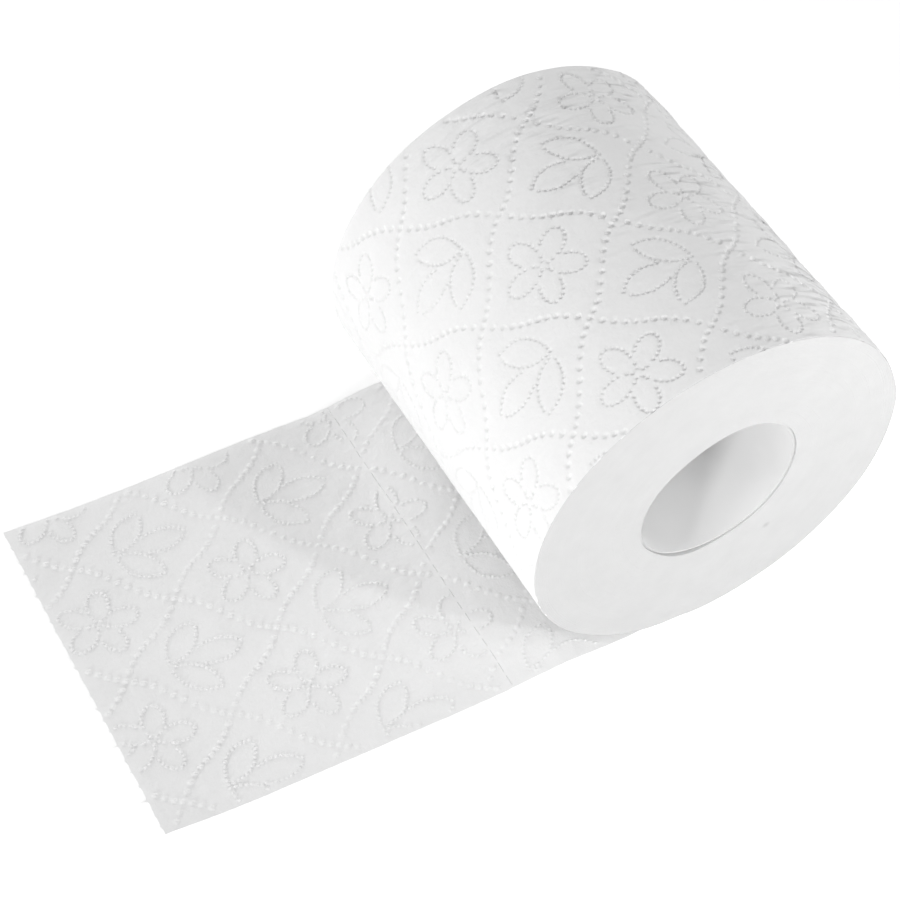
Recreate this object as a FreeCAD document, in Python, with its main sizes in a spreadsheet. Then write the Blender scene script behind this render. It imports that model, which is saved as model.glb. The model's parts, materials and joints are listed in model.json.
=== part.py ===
"""A toilet paper roll lying on its side, with its last sheet drawn out flat behind it.

The paper is one continuous web. It is wound on a white paperboard tube, leaves the roll at the
bottom and runs along the surface that the roll rests on, past a line of perforations, to an end
that was torn off at the next such line. The soft roll has a small flat spot where it rests.

The frame: the origin is the middle of the tube's bore, +Y runs along the bore, +Z is up, and
the loose tail of the web runs towards -X. Lengths are in millimetres.
"""

import FreeCAD, Part
import math
import os

import Sketcher
from FreeCAD import Vector

# The driving dimensions. Each is a cell of the document's sheet, under the same name.
SIZES = {
    "roll_width": (100.0, "length of the roll along its axis, and width of the web"),
    "roll_diameter": (100.0, "outer diameter of the wound paper"),
    "rim_bevel": (0.9, "bevel that takes the edge off each soft outer rim"),
    "flat_width": (14.0, "width of the flat spot under the roll"),
    "core_bore": (42.0, "inner diameter of the tube"),
    "core_wall": (0.6, "wall of the tube"),
    "core_gap": (0.1, "gap between the tube and the first turn of paper"),
    "web_thickness": (0.4, "thickness of the embossed web"),
    "perf_distance": (50.0, "from the roll's axis to the line of perforations"),
    "sheet_length": (94.0, "from the perforations to the torn end"),
    "perf_count": (24.0, "cuts in one line of perforations"),
    "perf_bond": (0.9, "paper left between two cuts"),
    "perf_gap": (0.3, "width of a cut"),
    "tooth_length": (0.8, "how far the torn bonds stand out of the torn end"),
    "swell_start": (11.0, "from the roll's axis to where the tail first leaves the surface"),
    "swell_length": (48.0, "length of the swell beside the roll"),
    "swell_height": (2.6, "height of that swell above the surface"),
    "lift_length": (18.0, "length of the torn end that curls up"),
    "lift_height": (1.4, "how far the torn end curls up"),
    "turn_pitch": (4.8, "pitch of the spiral groove that marks the turns"),
    "turn_groove_width": (0.35, "width of that groove"),
    "turn_groove_depth": (0.3, "depth of that groove"),
    "turn_margin": (1.8, "plain paper left inside and outside the groove"),
}

# How far a cut reaches outside the paper that it cuts.
OVERRUN = 1.0
# The largest difference between two lengths that count as equal.
LENGTH_TOLERANCE = 1e-6

ROLL_RADIUS = "(Sizes.roll_diameter / 2)"
TUBE_RADIUS = "(Sizes.core_bore / 2 + Sizes.core_wall)"
PAPER_BORE_RADIUS = f"({TUBE_RADIUS} + Sizes.core_gap)"
# The resting surface lies this far under the axis, where a chord is as wide as the flat spot.
FLOOR_DEPTH = f"(sqrt({ROLL_RADIUS} ^ 2 - (Sizes.flat_width / 2) ^ 2))"
TAIL_LENGTH = "(Sizes.perf_distance + Sizes.sheet_length)"
PERF_PITCH = "(Sizes.roll_width / Sizes.perf_count)"

# Each flank of the swell is two equal arcs that meet halfway up it.
FLANK = "(Sizes.swell_length / 2)"
FLANK_RADIUS = f"(({FLANK} ^ 2 + Sizes.swell_height ^ 2) / (4 * Sizes.swell_height))"
LIFT_RADIUS = "((Sizes.lift_length ^ 2 + Sizes.lift_height ^ 2) / (2 * Sizes.lift_height))"


def make_sheet(document):
    """Puts each driving dimension into a cell that has the dimension's name as its alias."""
    sheet = document.addObject("Spreadsheet::Sheet", "Sizes")
    for row, (name, (size, meaning)) in enumerate(SIZES.items(), start=1):
        sheet.set(f"A{row}", meaning)
        sheet.set(f"B{row}", str(size))
        sheet.setAlias(f"B{row}", name)
    document.recompute()
    return sheet


def value(body, expression):
    """What an expression of the sheet's sizes gives."""
    return float(body.evalExpression(expression))


def add_body(document, name):
    body = document.addObject("PartDesign::Body", name)
    body.Label = name
    return body


def origin_plane(body, role):
    return next(f for f in body.Origin.OriginFeatures if f.Role == role)


def add_sketch(body, name, role, offset=None):
    """A sketch on an origin plane of its body, moved along the plane's normal by an expression."""
    sketch = body.newObject("Sketcher::SketchObject", name)
    sketch.AttachmentSupport = (origin_plane(body, role), [""])
    sketch.MapMode = "FlatFace"
    if offset:
        sketch.setExpression("AttachmentOffset.Base.z", offset)
    return sketch


def bind(sketch, constraint, expression):
    """Adds a constraint whose value follows an expression of the sheet's sizes."""
    index = sketch.addConstraint(constraint)
    sketch.setExpression(f"Constraints[{index}]", expression)


def draw_circle(sketch, radius):
    """A circle about the sketch's origin."""
    size = value(sketch, radius)
    circle = sketch.addGeometry(Part.Circle(Vector(0, 0, 0), Vector(0, 0, 1), size))
    sketch.addConstraint(Sketcher.Constraint("Coincident", circle, 3, -1, 1))
    bind(sketch, Sketcher.Constraint("Radius", circle, size), radius)


def arc_through(start, end, radius, side):
    """The short arc between two points, with its centre left (+1) or right (-1) of the way."""
    chord = end - start
    left = Vector(-chord.y, chord.x, 0).normalize()
    rise = math.sqrt(radius ** 2 - chord.Length ** 2 / 4)
    middle = (start + end) / 2
    crown = middle - left * side * (radius - rise)
    return Part.Arc(start, crown, end)


def draw_outline(sketch, corners, bends=None):
    """A closed outline whose corners are pairs of expressions.

    bends gives, by the number of the edge, the radius of an arc and the side of its centre.
    """
    bends = bends or {}
    points = [Vector(value(sketch, x), value(sketch, y), 0) for x, y in corners]
    edges = []
    for number, start in enumerate(points):
        end = points[(number + 1) % len(points)]
        if number in bends:
            radius, side = bends[number]
            edge = sketch.addGeometry(arc_through(start, end, value(sketch, radius), side))
            # An arc's first point is the one that it leaves anticlockwise.
            ends = (1, 2) if side > 0 else (2, 1)
            size = sketch.Geometry[edge].Radius
            bind(sketch, Sketcher.Constraint("Radius", edge, size), radius)
        else:
            edge = sketch.addGeometry(Part.LineSegment(start, end))
            ends = (1, 2)
        edges.append((edge, *ends))
    for number, (edge, first, last) in enumerate(edges):
        following, next_first, _ = edges[(number + 1) % len(edges)]
        sketch.addConstraint(Sketcher.Constraint("Coincident", edge, last, following, next_first))
        x, y = corners[number]
        place = points[number]
        bind(sketch, Sketcher.Constraint("DistanceX", -1, 1, edge, first, place.x), x)
        bind(sketch, Sketcher.Constraint("DistanceY", -1, 1, edge, first, place.y), y)


def draw_rectangle(sketch, left, bottom, right, top):
    draw_outline(sketch, [(left, bottom), (right, bottom), (right, top), (left, top)])


def add_pad(body, sketch, name, length):
    """Paper or board of a given length, half on each side of the sketch."""
    pad = body.newObject("PartDesign::Pad", name)
    pad.Profile = sketch
    pad.SideType = "Symmetric"
    pad.setExpression("Length", length)
    return pad


def add_pocket(body, sketch, name, length, reverse=False):
    """A cut of a given length against the sketch's normal, or along it if reversed."""
    pocket = body.newObject("PartDesign::Pocket", name)
    pocket.Profile = sketch
    pocket.Reversed = reverse
    pocket.setExpression("Length", length)
    return pocket


def check_less(body, volume_before, name):
    """Stops if a cut took nothing away, and gives the volume that is left."""
    volume = body.Shape.Volume
    if volume > volume_before - LENGTH_TOLERANCE:
        raise RuntimeError(f"{name} cuts nothing")
    return volume


def rim_edges(shape, half_width, radius):
    """The names of the outermost edges of both end faces."""
    names = []
    for number, edge in enumerate(shape.Edges, start=1):
        box = edge.BoundBox
        flat = box.YLength < LENGTH_TOLERANCE
        outside = max(v.Point.distanceToPoint(Vector(0, v.Y, 0)) for v in edge.Vertexes)
        if flat and abs(abs(box.YMin) - half_width) < LENGTH_TOLERANCE:
            if outside > radius - LENGTH_TOLERANCE:
                names.append(f"Edge{number}")
    return names


def add_turns(document, body):
    """The wound paper: a thick ring with bevelled outer rims, cut flat where it rests."""
    section = add_sketch(body, "TurnsSection", "XZ_Plane")
    draw_circle(section, ROLL_RADIUS)
    draw_circle(section, PAPER_BORE_RADIUS)
    turns = add_pad(body, section, "Turns", "Sizes.roll_width")
    document.recompute()

    rims = body.newObject("PartDesign::Chamfer", "SoftRims")
    half_width = value(body, "Sizes.roll_width / 2")
    rims.Base = (turns, rim_edges(turns.Shape, half_width, value(body, ROLL_RADIUS)))
    rims.setExpression("Size", "Sizes.rim_bevel")
    document.recompute()
    volume = body.Shape.Volume

    below = add_sketch(body, "FlatSpotSection", "XZ_Plane")
    side = f"({ROLL_RADIUS} + {OVERRUN})"
    draw_rectangle(below, f"-{side}", f"-{side}", side, f"-{FLOOR_DEPTH}")
    flat_spot = body.newObject("PartDesign::Pocket", "FlatSpot")
    flat_spot.Profile = below
    flat_spot.SideType = "Symmetric"
    flat_spot.setExpression("Length", f"Sizes.roll_width + 2 * {OVERRUN}")
    document.recompute()
    check_less(body, volume, "FlatSpot")


def tail_outline():
    """The tail's section, from under the roll along its lower side to the torn end and back."""
    floor = f"-{FLOOR_DEPTH}"
    top = f"{floor} + Sizes.web_thickness"
    half_up = f"{floor} + Sizes.swell_height / 2"
    start = "-Sizes.swell_start"
    end = f"{start} - Sizes.swell_length"
    first_flank = f"{start} - {FLANK} / 2"
    last_flank = f"{end} + {FLANK} / 2"
    lift = f"-({TAIL_LENGTH} - Sizes.lift_length)"
    # The upper side lies one thickness from the lower one, along the normal at each corner.
    flank_run = f"Sizes.web_thickness * {FLANK} / 2 / {FLANK_RADIUS}"
    flank_rise = f"Sizes.web_thickness * (1 - Sizes.swell_height / 2 / {FLANK_RADIUS})"
    lift_run = f"Sizes.web_thickness * Sizes.lift_length / {LIFT_RADIUS}"
    lift_rise = f"Sizes.web_thickness * (1 - Sizes.lift_height / {LIFT_RADIUS})"
    corners = [
        ("0", floor),
        (start, floor),
        (first_flank, half_up),
        (last_flank, half_up),
        (end, floor),
        (lift, floor),
        (f"-{TAIL_LENGTH}", f"{floor} + Sizes.lift_height"),
        (f"-{TAIL_LENGTH} + {lift_run}", f"{floor} + Sizes.lift_height + {lift_rise}"),
        (lift, top),
        (end, top),
        (f"{last_flank} - {flank_run}", f"{half_up} + {flank_rise}"),
        (f"{first_flank} + {flank_run}", f"{half_up} + {flank_rise}"),
        (start, top),
        ("0", top),
    ]
    inner_flank = f"({FLANK_RADIUS} - Sizes.web_thickness)"
    crest = f"({FLANK_RADIUS} + Sizes.web_thickness)"
    bends = {
        1: (FLANK_RADIUS, -1),
        2: (FLANK_RADIUS, 1),
        3: (FLANK_RADIUS, -1),
        5: (LIFT_RADIUS, -1),
        7: (f"({LIFT_RADIUS} - Sizes.web_thickness)", 1),
        9: (inner_flank, 1),
        10: (crest, -1),
        11: (inner_flank, 1),
    }
    return corners, bends


def add_tail(document, body):
    """The drawn-out web: from under the roll over a low swell to the end, which curls up."""
    section = add_sketch(body, "TailSection", "XZ_Plane")
    corners, bends = tail_outline()
    draw_outline(section, corners, bends)
    add_pad(body, section, "Tail", "Sizes.roll_width")
    document.recompute()


def add_perforations(document, body):
    """A line of cuts across the tail, and the same line torn through at its end."""
    volume = body.Shape.Volume
    sketch = add_sketch(body, "CutOutline", "XY_Plane", f"-{FLOOR_DEPTH} - {OVERRUN}")
    first = f"(-Sizes.roll_width / 2 + Sizes.perf_bond / 2)"
    last = f"({first} + {PERF_PITCH} - Sizes.perf_bond)"
    near = "(-Sizes.perf_distance + Sizes.perf_gap / 2)"
    far = "(-Sizes.perf_distance - Sizes.perf_gap / 2)"
    draw_rectangle(sketch, far, first, near, last)
    root = f"(-{TAIL_LENGTH} + Sizes.tooth_length)"
    draw_rectangle(sketch, f"(-{TAIL_LENGTH} - {OVERRUN})", first, root, last)
    height = f"Sizes.web_thickness + Sizes.swell_height + Sizes.lift_height + 2 * {OVERRUN}"
    cut = add_pocket(body, sketch, "Cut", height, reverse=True)
    document.recompute()
    volume = check_less(body, volume, "Cut")

    row = body.newObject("PartDesign::LinearPattern", "Perforations")
    row.Originals = [cut]
    row.Direction = (sketch, ["V_Axis"])
    row.Mode = "Spacing"
    row.setExpression("Offset", PERF_PITCH)
    row.setExpression("Occurrences", "Sizes.perf_count")
    body.Tip = row
    document.recompute()
    check_less(body, volume, "Perforations")


def draw_spiral(sketch, turns):
    """A groove of half circles that winds in from the bottom, up the +X side, turn by turn.

    The half circles on the +X side are about the axis, and those on the -X side about a point
    half a pitch above it, so that each turn runs one pitch further in.
    """
    pitch = value(sketch, "Sizes.turn_pitch")
    wall_radius = {
        "outer": f"({ROLL_RADIUS} - Sizes.turn_margin)",
        "inner": f"({ROLL_RADIUS} - Sizes.turn_margin - Sizes.turn_groove_width)",
    }
    ends = {}
    for wall, radius in wall_radius.items():
        size = value(sketch, radius)
        previous = None
        for half in range(2 * turns):
            right = half % 2 == 0
            centre = Vector(0, 0 if right else pitch / 2, 0)
            begin = -math.pi / 2 if right else math.pi / 2
            circle = Part.Circle(centre, Vector(0, 0, 1), size - half * pitch / 2)
            arc = sketch.addGeometry(Part.ArcOfCircle(circle, begin, begin + math.pi))
            sketch.addConstraint(Sketcher.Constraint("PointOnObject", arc, 3, -2))
            sketch.addConstraint(Sketcher.Constraint("PointOnObject", arc, 2, -2))
            if right:
                sketch.addConstraint(Sketcher.Constraint("DistanceY", -1, 1, arc, 3, 0))
            else:
                height = Sketcher.Constraint("DistanceY", -1, 1, arc, 3, pitch / 2)
                bind(sketch, height, "Sizes.turn_pitch / 2")
            if previous is None:
                sketch.addConstraint(Sketcher.Constraint("PointOnObject", arc, 1, -2))
                bind(sketch, Sketcher.Constraint("Radius", arc, size), radius)
                ends[wall] = [arc]
            else:
                sketch.addConstraint(Sketcher.Constraint("Coincident", previous, 2, arc, 1))
            previous = arc
        ends[wall].append(previous)
    for point, index in ((1, 0), (2, 1)):
        outer, inner = ends["outer"][index], ends["inner"][index]
        from_geometry, to_geometry = sketch.Geometry[outer], sketch.Geometry[inner]
        start = from_geometry.StartPoint if point == 1 else from_geometry.EndPoint
        end = to_geometry.StartPoint if point == 1 else to_geometry.EndPoint
        line = sketch.addGeometry(Part.LineSegment(start, end))
        sketch.addConstraint(Sketcher.Constraint("Coincident", line, 1, outer, point))
        sketch.addConstraint(Sketcher.Constraint("Coincident", line, 2, inner, point))


def add_turn_marks(document, body):
    """A shallow spiral groove in each end face, which shows how the turns run."""
    volume = body.Shape.Volume
    turned_depth = value(body, f"{ROLL_RADIUS} - {PAPER_BORE_RADIUS} - 2 * Sizes.turn_margin")
    turns = int(turned_depth / value(body, "Sizes.turn_pitch"))
    sketch = add_sketch(body, "TurnMarkSpiral", "XZ_Plane", "Sizes.roll_width / 2")
    draw_spiral(sketch, turns)
    groove = add_pocket(body, sketch, "TurnMark", "Sizes.turn_groove_depth")
    document.recompute()
    volume = check_less(body, volume, "TurnMark")

    both = body.newObject("PartDesign::Mirrored", "TurnMarks")
    both.Originals = [groove]
    both.MirrorPlane = (origin_plane(body, "XZ_Plane"), [""])
    body.Tip = both
    document.recompute()
    check_less(body, volume, "TurnMarks")


def make_paper_web(document):
    body = add_body(document, "paper_web")
    add_turns(document, body)
    add_tail(document, body)
    add_perforations(document, body)
    add_turn_marks(document, body)
    return body


def make_core_tube(document):
    body = add_body(document, "core_tube")
    section = add_sketch(body, "TubeSection", "XZ_Plane")
    draw_circle(section, TUBE_RADIUS)
    draw_circle(section, "(Sizes.core_bore / 2)")
    add_pad(body, section, "Tube", "Sizes.roll_width")
    document.recompute()
    return body


def check_document(document, pieces):
    """Stops if any object failed or if any piece is not a single sound solid."""
    for item in document.Objects:
        if "Invalid" in item.State or "Error" in item.State:
            raise RuntimeError(f"{item.Label} failed: {item.State}")
    for piece in pieces:
        shape = piece.Shape
        if shape.isNull() or not shape.isValid() or len(shape.Solids) != 1:
            raise RuntimeError(f"{piece.Label} is not a single sound solid")


def main():
    document = FreeCAD.newDocument("toilet_paper_roll")
    make_sheet(document)
    pieces = [make_core_tube(document), make_paper_web(document)]
    check_document(document, pieces)
    os.makedirs("parts", exist_ok=True)
    for piece in pieces:
        piece.Shape.exportStep(os.path.join("parts", f"{piece.Label}.step"))
        box = piece.Shape.BoundBox
        print(piece.Label, round(piece.Shape.Volume, 1), box)


main()
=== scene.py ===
"""A toilet paper roll on its side, its last sheet drawn out flat behind it.

The frame gives the main sizes. Two pieces stand for the solid web: the wound paper and the
drawn-out sheet. Both are embossed with the same dotted pattern: a lattice of lines with
five-petalled flowers and three-leaved sprigs in its cells. Lengths are in metres.
"""

import json
import math
import random

import bpy
import numpy as np
from mathutils import Matrix, Vector, kdtree, noise
from mathutils.geometry import delaunay_2d_cdt


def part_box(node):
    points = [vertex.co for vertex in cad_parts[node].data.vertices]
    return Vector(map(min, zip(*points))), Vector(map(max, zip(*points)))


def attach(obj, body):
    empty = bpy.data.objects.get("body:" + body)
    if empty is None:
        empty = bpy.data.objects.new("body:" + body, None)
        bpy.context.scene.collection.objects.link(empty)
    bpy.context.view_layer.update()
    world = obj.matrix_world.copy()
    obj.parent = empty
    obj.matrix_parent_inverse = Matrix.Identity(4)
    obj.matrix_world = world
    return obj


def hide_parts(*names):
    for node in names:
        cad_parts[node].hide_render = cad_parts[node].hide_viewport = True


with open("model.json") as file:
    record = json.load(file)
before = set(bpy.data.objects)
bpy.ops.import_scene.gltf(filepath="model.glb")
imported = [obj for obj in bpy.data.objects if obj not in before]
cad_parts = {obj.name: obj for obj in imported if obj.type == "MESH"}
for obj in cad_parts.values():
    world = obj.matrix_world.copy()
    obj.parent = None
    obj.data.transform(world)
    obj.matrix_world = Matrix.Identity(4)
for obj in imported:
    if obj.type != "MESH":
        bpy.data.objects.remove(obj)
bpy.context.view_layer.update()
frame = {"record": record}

MM = 0.001

# Sizes read from the frame.
WEB_LOW, WEB_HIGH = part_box("paper_web")
_, TUBE_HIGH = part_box("core_tube")
HALF_WIDTH = WEB_HIGH.y
ROLL_RADIUS = WEB_HIGH.x
FLOOR = WEB_LOW.z
TORN_END = WEB_LOW.x
TUBE_RADIUS = TUBE_HIGH.x
BORE_RADIUS = frame["record"]["mounts"][0]["dims"]["r_mm"] * MM

# The web. A length u runs from the torn end along the sheet and on around the roll. On the roll's
# own surface it is counted from the lowest line.
SHEET_THICKNESS = 0.32 * MM
EDGE_THICKNESS = 0.08 * MM
EDGE_REACH = 1.2 * MM
FREE_LENGTH = -TORN_END

# The torn end: its spikes differ in length, place along the edge, half width and hollow beside.
TORN_BASE = TORN_END + 0.2 * MM
TORN_CORNER = TORN_BASE + 0.1 * MM
TOOTH = 1.8 * MM
TOOTH_SHARES = (0.1, 0.2, 0.3, 0.5, 0.9)
TOOTH_SHIFT = 0.17
TOOTH_HALF = (0.25 * MM, 0.55 * MM)
TOOTH_HOLLOW = (0.0, 0.22 * MM)
FRILL = {"reach": 1.2 * MM, "height": 0.12 * MM, "size": 1.1 * MM}

# The perforation: a row of cuts with short bonds of paper between them.
PERF_X = -50.6 * MM
PERF_COUNT = 24
PERF_PITCH = 2 * HALF_WIDTH / PERF_COUNT
PERF_BOND = 1.2 * MM
PERF_BOND_SPREAD = (0.6, 1.6)
PERF_GAP = 0.24 * MM
PERF_SHIFT = 0.06 * MM

# The sheet's long edges: their points, their unevenness, and the belt in which it counts.
SIDE_STEPS = 96
SIDE_INSET = 0.09 * MM
SIDE_BELT = 0.2 * MM

# How far dots keep from the sheet's edges and cuts, and field points from the cuts and torn end.
DOT_MARGIN = 1.1 * MM
CUT_MARGIN = 0.6 * MM
TORN_MARGIN = 0.8 * MM
# The sheet's pattern leaves out this much of the web at the torn end and under the roll.
PATTERN_MARGINS = (0.5 * MM, 9 * MM)

# The roll. Its surface lies a little inside the CAD radius, which leaves room for its unevenness.
LAP = math.tau * ROLL_RADIUS
RIM_RADIUS = 0.45 * MM
FLAT_V = HALF_WIDTH - RIM_RADIUS
REACH_V = FLAT_V + RIM_RADIUS * math.pi / 2
RIM_ROWS = (FLAT_V, FLAT_V + RIM_RADIUS * math.pi / 6, FLAT_V + RIM_RADIUS * math.pi / 3)
INSET = 0.16 * MM
TOP_SLACK = 0.6 * MM
SEAM_MARGIN = 1.2 * MM

# The paper beside the dots of a line or a motif is drawn in with them, out to this reach.
LINE_SAG = 0.14 * MM
LINE_REACH = 2.4 * MM
MOTIF_SAG = 0.1 * MM
MOTIF_REACH = 1.6 * MM

# The embossed pattern, in its own coordinates: a along the web and b across it.
PERIOD_A = 40 * MM
PERIOD_B = 37.5 * MM
PATTERN_TILT = 0.046
# A flower's centre on the web, from the torn end and from the middle of the width.
ROLL_FLOWER = (327.7 * MM, -2.1 * MM)
SHEET_FLOWER = (330.0 * MM, -2.1 * MM)
LATTICE_STEPS = 11
LATTICE_SWING = 1.15 * MM
MOTIF_SPACING = 1.27 * MM
LEAST_DOT_DISTANCE = 1.0 * MM
# Cells on each side of the web's middle: more than its width holds.
CELLS_ACROSS = 4

# The two kinds of dot. Each ring has its share of the dot's radius and its share of the depth.
LATTICE, MOTIF = 0, 1
DOTS = {
    LATTICE: {
        "radius": 0.84 * MM,
        "depth": 0.42 * MM,
        "sides": 8,
        "rings": ((0.45, 0.8), (0.85, 0.15), (1.15, -0.2)),
    },
    MOTIF: {
        "radius": 0.6 * MM,
        "depth": 0.25 * MM,
        "sides": 6,
        "rings": ((0.5, 0.75), (1.0, -0.26)),
    },
}
# How much of each kind of dot's depth is left on the roll and on the flat sheet.
ROLL_EMBOSS = (1.0, 1.0)
SHEET_EMBOSS = (0.85, 1.2)
# How the dots differ from one another, and the wear that changes from place to place.
DOT_SHIFT = 0.07 * MM
DOT_STRETCH = (1.22, 0.9)
DOT_SIZES = (0.92, 1.08)
DOT_DEPTHS = (0.75, 1.15)
DOT_WEAR = {"mean": 0.9, "swing": 0.45, "size": 16 * MM}

# The field of points between the dots. Its rows lie a share of the step apart.
ROLL_FIELD_STEP = 1.75 * MM
SHEET_FIELD_STEP = 1.9 * MM
FIELD_ROW = 0.87
FIELD_CLEARANCE = 0.95 * MM
MERGE_DISTANCE = 1e-9

# The points around the roll, its rows across and its rings on an end face.
AROUND = 256
BORDER_ROWS = 48
FACE_RINGS = 34
BORE_ROWS = 10

# The soft roll is out of round: it sags, so its sides bulge. Each bulge has its middle, its half
# width and its height at the near and at the far face.
BULGES = (
    {"middle": math.radians(-25), "half": math.radians(75), "near": 2.1 * MM, "far": 0.7 * MM},
    {"middle": math.radians(165), "half": math.radians(70), "near": 0.9 * MM, "far": 1.7 * MM},
    {"middle": math.radians(95), "half": math.radians(60), "near": -0.6 * MM, "far": 0.9 * MM},
)

# The roll's crumpled back, where the creases are deeper and the dots crisper.
BACK = {"middle": math.radians(45), "half": math.radians(115)}
LEAST_CRUMPLED = 0.4
BACK_CRUMPLED = 1.0
BACK_CRISP = 1.2

# Unevenness of the wound tissue: soft hollows, creases and fine creases.
HOLLOWS = {"depth": 0.07 * MM, "size": 13 * MM}
CREASES = {"depth": 0.2 * MM, "length": 17 * MM, "width": 5.5 * MM}
FINE_CREASES = {"depth": 0.12 * MM, "length": 8 * MM, "width": 3.2 * MM}

# The end faces: how far in the edges of the turns lie, and how uneven they are.
FACE_RECESS = 0.14 * MM
FACE_STREAKS = {"depth": 0.06 * MM, "width": 1.5 * MM, "turn": 1.3}
FACE_SWELL = {"depth": 0.1 * MM, "size": 16 * MM}
BORE_RECESS = 0.1 * MM
# A rim face wholly beyond this width shows the turns' cut ends, in a grey darkened as painted shade.
SHADED_CUT_FROM = FLAT_V + 0.1 * RIM_RADIUS

# The paper stands off the tube at the near face, where a thin dark line shows.
GAP = {
    "middle": math.radians(-104),
    "half": math.radians(34),
    "height": 0.85 * MM,
    "reach": 5 * MM,
}

# How far the bore is out of round at the near face: cosine and sine shares of each wave around it.
BORE_WAVES = {1: (0.35 * MM, 0.55 * MM), 2: (0.05 * MM, 0.5 * MM), 3: (-0.25 * MM, -0.12 * MM)}
# The share of it that is left at the far face.
FAR_WAVES = 0.4
PAPER_BORE = TUBE_RADIUS + 0.03 * MM

# The drawn-out sheet's waves: a swell by the roll and a lift of the torn end, both leaning across
# the sheet, and smaller waves where it lies free.
SWELL = {"start": -11 * MM, "length": 48 * MM, "height": 2.6 * MM, "lean": 0.4}
LIFT = {"length": 34 * MM, "height": 1.4 * MM, "lean": -0.7}
FREE_REACH = 12 * MM
SLOW_WAVES = {"height": 0.45 * MM, "size": 34 * MM, "mean": 0.3}
QUICK_WAVES = {"height": 0.16 * MM, "size": 11 * MM, "mean": 0.4}
FINE_WAVES = {"height": 0.14 * MM, "length": 3.2 * MM, "width": 5.5 * MM, "mean": 0.4}
# The far long edge draws in towards the torn end by this much.
DRAW_IN = {"start": -60 * MM, "length": 70 * MM, "width": 1.9 * MM}
# The near long edge draws in towards the roll by this much.
NEAR_DRAW_IN = {"length": 26 * MM, "width": 1.7 * MM}

# The tube: how far its ends lie inside the roll's width, their bevel, and its points.
TUBE_INSET = 0.65 * MM
TUBE_BEVEL = 0.05 * MM
TUBE_AROUND = 160
TUBE_ROWS = 12
# A face whose normal points more than this along the tube belongs to an end, which takes a darker
# grey as painted shade.
END_NORMAL = 0.2

# Colours, as linear values.
PAPER_DARK = (0.86, 0.86, 0.86)
PAPER_LIGHT = (0.90, 0.90, 0.90)
# The cut ends' grey is darker than the tissue's: painted shade on the end faces, the rim and the
# bore.
CUT_SHADED_DARK = (0.625, 0.625, 0.625)
CUT_SHADED_LIGHT = (0.66, 0.66, 0.66)
# The tube's ends take a darker grey still: painted shade on the recessed ends.
BOARD_END_SHADED_DARK = (0.64, 0.64, 0.64)
BOARD_END_SHADED_LIGHT = (0.67, 0.67, 0.67)
# The tube's wall is white board; its grey is set darker as painted shade inside the bore.
BOARD_SHADED_DARK = (0.74, 0.74, 0.74)
BOARD_SHADED_LIGHT = (0.765, 0.765, 0.765)
FLOOR_GREY = (0.97, 0.97, 0.97)
FLOOR_GLOW = 0.27

# A grey speck of dirt on the near face.
SPECK_PLACE = (19.2 * MM, -50 * MM, -23.0 * MM)
SPECK_RADIUS = 1.35 * MM
SPECK_GREY = (0.45, 0.45, 0.45)

# Noise that runs longer one way: its scales along the web, across it and off it, and those of the
# felt along X, Y and Z.
CREASE_SCALES = (95.0, 400.0, 1.0)
FIBRE_SCALES = (2600.0, 900.0, 1.0)
FELT_SCALES = (1500.0, 500.0, 1500.0)

# The heights of the bumps.
ROLL_CREASE_BUMP = 2.6 * MM
SHEET_CREASE_BUMP = 0.2 * MM
SOFT_BUMP = 0.25 * MM
FIBRE_BUMP = 0.05 * MM
FLUFF_BUMP = 0.035 * MM
CUT_BUMP = 0.07 * MM
BOARD_BUMP = 0.25 * MM
FELT_BUMP = 0.03 * MM

# The crease bump fades out around the roll, along a line that slants across the web.
CREASE_SLANT = 0.45
CREASE_FULL = 2.6 * ROLL_RADIUS
CREASE_WEAK = 3.7 * ROLL_RADIUS
CREASE_LEFT = 0.1

# The rings on a cut face: the scale of their noise along the radius, and how far they sway.
RING_SCALE = 3300.0
RING_SWAY = 1.6 * MM

# The studio: an even white sky, a low light from the left, a small one in front that throws the
# soft shadow on the sheet, a small close one for the near face, and wide weak ones around.
# Azimuth 0 lies along +X.
WORLD_STRENGTH = 0.41
LIGHTS = {
    "left_light": {"azimuth": 209, "elevation": 8, "distance": 0.9, "size": 0.14, "power": 3.1},
    "front_light": {"azimuth": 291.5, "elevation": 33, "distance": 0.9, "size": 0.05, "power": 1.35},
    "front_fill": {"azimuth": 270, "elevation": 60, "distance": 0.9, "size": 0.4, "power": 0.75},
    "face_light": {"azimuth": 296, "elevation": 21, "distance": 0.19, "size": 0.06, "power": 0.047},
    "right_fill": {"azimuth": 0, "elevation": 60, "distance": 0.9, "size": 0.4, "power": 0.63},
    "back_fill": {"azimuth": 90, "elevation": 8, "distance": 0.9, "size": 0.4, "power": 4.1},
    "back_left_fill": {"azimuth": 120, "elevation": 8, "distance": 0.9, "size": 0.4, "power": 1.4},
}

# The camera, as the photograph was taken. Its lens and sensor are in millimetres.
CAMERA_PLACE = Vector((-0.238580, -0.279476, 0.389959))
CAMERA_AZIMUTH = math.radians(34.908)
CAMERA_ELEVATION = math.radians(49.966)
CAMERA_ROLL = math.radians(7.198)
CAMERA_LENS = 85.857
SENSOR_WIDTH = 36.0
CAMERA_NEAR = 0.01

FLOOR_HALF_SIZE = 6.0

SEED = 7


# The embossed pattern


def spaced_along(points, spacing, closed=False):
    """Points at an even spacing along a finely drawn line."""
    line = np.array(points, dtype=float)
    if closed:
        line = np.vstack([line, line[:1]])
    steps = np.linalg.norm(np.diff(line, axis=0), axis=1)
    way = np.concatenate([[0], np.cumsum(steps)])
    count = max(2, int(round(way[-1] / spacing)))
    at = np.arange(count + (0 if closed else 1)) * way[-1] / count
    return np.stack([np.interp(at, way, line[:, 0]), np.interp(at, way, line[:, 1])], axis=1)


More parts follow.
